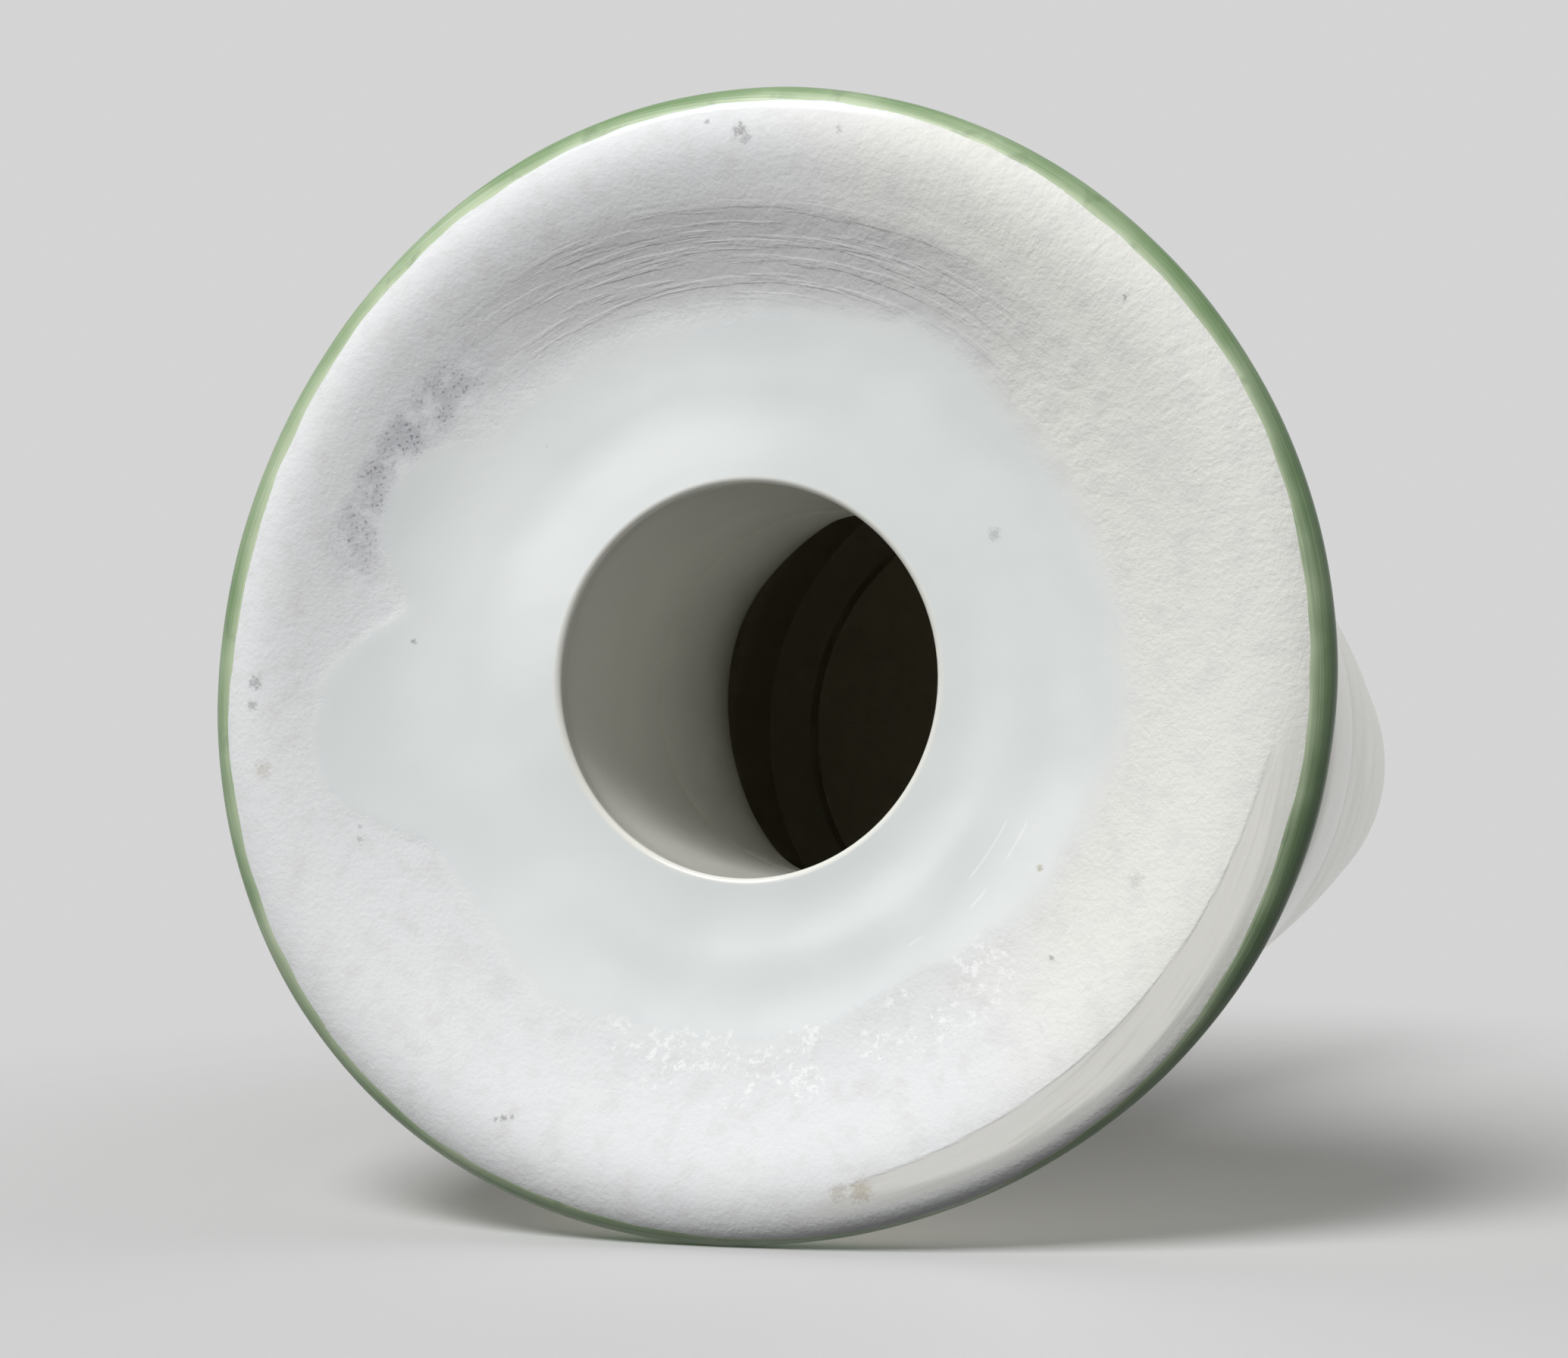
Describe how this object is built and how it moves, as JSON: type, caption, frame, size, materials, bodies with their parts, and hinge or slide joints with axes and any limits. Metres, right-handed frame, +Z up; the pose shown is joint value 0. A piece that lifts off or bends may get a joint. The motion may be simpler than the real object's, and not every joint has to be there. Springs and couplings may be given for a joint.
{
  "type": "porcelain vase",
  "caption": "Slender hollow porcelain vase on a spreading foot, with a dished underside, a round base hole, a floored water well, a tapering neck with a rounded lip and enamel edge lines.",
  "frame": {"origin": "centre of the foot's standing ring, on the surface that the vase stands on", "axes": "+Z up along the vase's axis, from the foot to the mouth"},
  "size_m": [0.08, 0.08, 0.22],
  "materials": {
    "glazed_porcelain": "clear gloss glaze on white porcelain, matt and bare towards the foot's edge",
    "bare_porcelain": "matt fired porcelain",
    "luting_slip": "matt fired slip",
    "green_enamel": "brushed green enamel, semi-gloss"
  },
  "bodies": {
    "root": {"foot": "glazed_porcelain", "foot_edge_line": "green_enamel", "foot_luting": "luting_slip", "lower_body": "glazed_porcelain", "well_floor": "bare_porcelain", "floor_luting": "luting_slip", "body_luting": "luting_slip", "upper_body": "glazed_porcelain", "neck_luting": "luting_slip", "neck": "glazed_porcelain", "mouth_edge_line": "green_enamel"}
  },
  "joints": []
}
